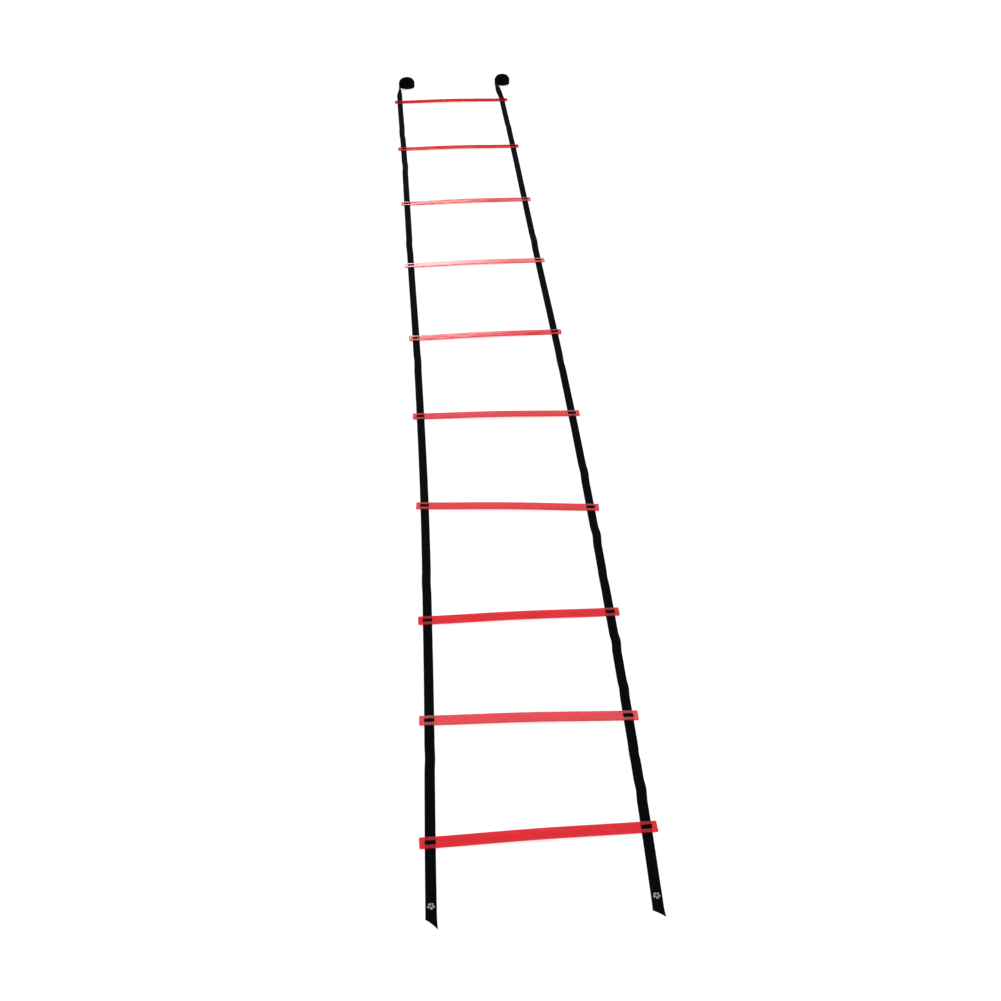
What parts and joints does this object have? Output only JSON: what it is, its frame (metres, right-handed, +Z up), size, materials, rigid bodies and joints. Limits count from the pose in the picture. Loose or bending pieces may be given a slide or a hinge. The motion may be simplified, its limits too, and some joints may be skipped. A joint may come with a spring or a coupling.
{
  "type": "agility ladder",
  "caption": "Flat agility ladder laid on the ground: translucent flat rungs threaded on two woven straps, with slanted snap tails and coiled far ends.",
  "frame": {"origin": "on the ground in the middle of the laid-out ladder", "axes": "+Y along the ladder from the slanted tails to the coiled ends, +X to the right, +Z up"},
  "size_m": [0.4606, 3.8255, 0.03],
  "materials": {
    "red_plastic": "glossy translucent red moulded plastic",
    "black_webbing": "black woven polypropylene webbing, matt with a faint sheen",
    "bright_metal": "bright plated metal"
  },
  "bodies": {
    "section_01": {"strap_left_01": "black_webbing", "strap_right_01": "black_webbing", "stud_socket_left": "bright_metal", "stud_socket_right": "bright_metal", "stud_cap_left": "bright_metal", "stud_cap_right": "bright_metal"},
    "section_02": {"strap_left_02": "black_webbing", "strap_right_02": "black_webbing"},
    "section_03": {"strap_left_03": "black_webbing", "strap_right_03": "black_webbing"},
    "section_04": {"strap_left_04": "black_webbing", "strap_right_04": "black_webbing"},
    "section_05": {"strap_left_05": "black_webbing", "strap_right_05": "black_webbing"},
    "section_06": {"strap_left_06": "black_webbing", "strap_right_06": "black_webbing"},
    "section_07": {"strap_left_07": "black_webbing", "strap_right_07": "black_webbing"},
    "section_08": {"strap_left_08": "black_webbing", "strap_right_08": "black_webbing"},
    "section_09": {"strap_left_09": "black_webbing", "strap_right_09": "black_webbing"},
    "section_10": {"strap_left_10": "black_webbing", "strap_right_10": "black_webbing"},
    "rung_01": {"rung_01": "red_plastic"},
    "rung_02": {"rung_02": "red_plastic"},
    "rung_03": {"rung_03": "red_plastic"},
    "rung_04": {"rung_04": "red_plastic"},
    "rung_05": {"rung_05": "red_plastic"},
    "rung_06": {"rung_06": "red_plastic"},
    "rung_07": {"rung_07": "red_plastic"},
    "rung_08": {"rung_08": "red_plastic"},
    "rung_09": {"rung_09": "red_plastic"},
    "rung_10": {"rung_10": "red_plastic"},
    "far_end_left": {"lead_left": "black_webbing", "coil_left": "black_webbing"},
    "far_end_right": {"lead_right": "black_webbing", "coil_right": "black_webbing"}
  },
  "joints": [
    {"name": "fold", "type": "hinge", "parent": "section_01", "child": "section_02", "pos_m": [0, -1.58813, 0.0071], "axis": [1, 0, 0], "range_deg": [0, 179]},
    {"name": "fold_02", "type": "hinge", "parent": "section_02", "child": "section_03", "pos_m": [0, -1.30313, -0.002], "axis": [-1, 0, 0], "range_deg": [0, 179]},
    {"name": "fold_03", "type": "hinge", "parent": "section_03", "child": "section_04", "pos_m": [0, -0.97062, 0.0071], "axis": [1, 0, 0], "range_deg": [0, 179]},
    {"name": "fold_04", "type": "hinge", "parent": "section_04", "child": "section_05", "pos_m": [0, -0.59313, -0.002], "axis": [-1, 0, 0], "range_deg": [0, 179]},
    {"name": "fold_05", "type": "hinge", "parent": "section_05", "child": "section_06", "pos_m": [0, -0.20563, 0.0071], "axis": [1, 0, 0], "range_deg": [0, 179]},
    {"name": "fold_06", "type": "hinge", "parent": "section_06", "child": "section_07", "pos_m": [0, 0.20438, -0.002], "axis": [-1, 0, 0], "range_deg": [0, 179]},
    {"name": "fold_07", "type": "hinge", "parent": "section_07", "child": "section_08", "pos_m": [0, 0.62938, 0.0071], "axis": [1, 0, 0], "range_deg": [0, 179]},
    {"name": "fold_08", "type": "hinge", "parent": "section_08", "child": "section_09", "pos_m": [0, 1.05937, -0.002], "axis": [-1, 0, 0], "range_deg": [0, 179]},
    {"name": "fold_09", "type": "hinge", "parent": "section_09", "child": "section_10", "pos_m": [0, 1.49438, 0.0071], "axis": [1, 0, 0], "range_deg": [0, 179]},
    {"name": "far_end_left_fold", "type": "hinge", "parent": "section_10", "child": "far_end_left", "pos_m": [0, 1.75687, -0.002], "axis": [-1, 0, 0], "range_deg": [0, 179]},
    {"name": "far_end_right_fold", "type": "hinge", "parent": "section_10", "child": "far_end_right", "pos_m": [0, 1.75687, -0.002], "axis": [-1, 0, 0], "range_deg": [0, 179]},
    {"name": "rung_01_slide", "type": "slide", "parent": "section_01", "child": "rung_01", "axis": [0, 1, 0], "range_m": [-0.046, 0.056], "deforming": ["strap_left_01", "strap_right_01"]},
    {"name": "rung_02_slide", "type": "slide", "parent": "section_02", "child": "rung_02", "axis": [0, 1, 0], "range_m": [-0.055, 0.057], "deforming": ["strap_left_02", "strap_right_02"]},
    {"name": "rung_03_slide", "type": "slide", "parent": "section_03", "child": "rung_03", "axis": [0, 1, 0], "range_m": [-0.06, 0.082], "deforming": ["strap_left_03", "strap_right_03"]},
    {"name": "rung_04_slide", "type": "slide", "parent": "section_04", "child": "rung_04", "axis": [0, 1, 0], "range_m": [-0.074, 0.075], "deforming": ["strap_left_04", "strap_right_04"]},
    {"name": "rung_05_slide", "type": "slide", "parent": "section_05", "child": "rung_05", "axis": [0, 1, 0], "range_m": [-0.08, 0.084], "deforming": ["strap_left_05", "strap_right_05"]},
    {"name": "rung_06_slide", "type": "slide", "parent": "section_06", "child": "rung_06", "axis": [0, 1, 0], "range_m": [-0.084, 0.09], "deforming": ["strap_left_06", "strap_right_06"]},
    {"name": "rung_07_slide", "type": "slide", "parent": "section_07", "child": "rung_07", "axis": [0, 1, 0], "range_m": [-0.09, 0.09], "deforming": ["strap_left_07", "strap_right_07"]},
    {"name": "rung_08_slide", "type": "slide", "parent": "section_08", "child": "rung_08", "axis": [0, 1, 0], "range_m": [-0.09, 0.09], "deforming": ["strap_left_08", "strap_right_08"]},
    {"name": "rung_09_slide", "type": "slide", "parent": "section_09", "child": "rung_09", "axis": [0, 1, 0], "range_m": [-0.09, 0.09], "deforming": ["strap_left_09", "strap_right_09"]},
    {"name": "rung_10_slide", "type": "slide", "parent": "section_10", "child": "rung_10", "axis": [0, 1, 0], "range_m": [-0.09, 0.011], "deforming": ["strap_left_10", "strap_right_10"]}
  ],
  "couplings": [
    {"joint": "fold_02", "follows": "fold", "ratio": 1},
    {"joint": "fold_03", "follows": "fold", "ratio": 1},
    {"joint": "fold_04", "follows": "fold", "ratio": 1},
    {"joint": "fold_05", "follows": "fold", "ratio": 1},
    {"joint": "fold_06", "follows": "fold", "ratio": 1},
    {"joint": "fold_07", "follows": "fold", "ratio": 1},
    {"joint": "fold_08", "follows": "fold", "ratio": 1},
    {"joint": "fold_09", "follows": "fold", "ratio": 1},
    {"joint": "far_end_left_fold", "follows": "fold", "ratio": 1},
    {"joint": "far_end_right_fold", "follows": "fold", "ratio": 1}
  ]
}
